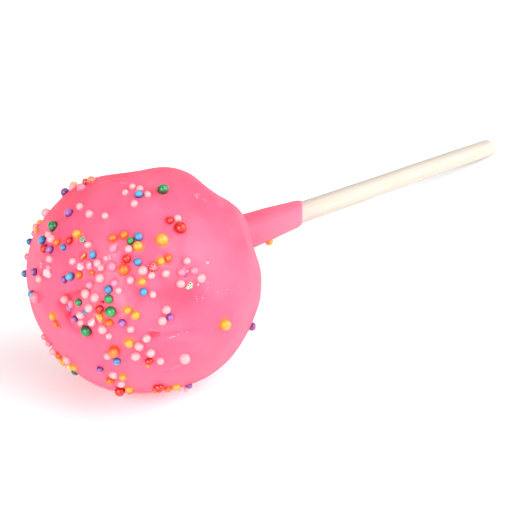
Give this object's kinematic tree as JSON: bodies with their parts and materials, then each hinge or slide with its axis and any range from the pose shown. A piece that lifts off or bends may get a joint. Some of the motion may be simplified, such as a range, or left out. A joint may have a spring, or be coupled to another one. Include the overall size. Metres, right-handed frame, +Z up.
{
  "type": "cake pop",
  "caption": "Ball of cake on a wooden stick, dipped in pink candy coating and scattered with coloured sugar sprinkles, lying on its side.",
  "frame": {"origin": "centre of the small flat spot under the ball, on the surface that the pop lies on", "axes": "+X from the ball towards the stick's free end, along the surface; +Y across it, away from the side that shows; +Z up"},
  "size_m": [0.1363, 0.0396, 0.0376],
  "materials": {
    "pink_candy_coating": "satin",
    "birch_wood": "matte",
    "sugar_sprinkles": "satin"
  },
  "bodies": {
    "root": {"candy_coated_ball": "pink_candy_coating", "wooden_stick": "birch_wood"}
  },
  "joints": []
}
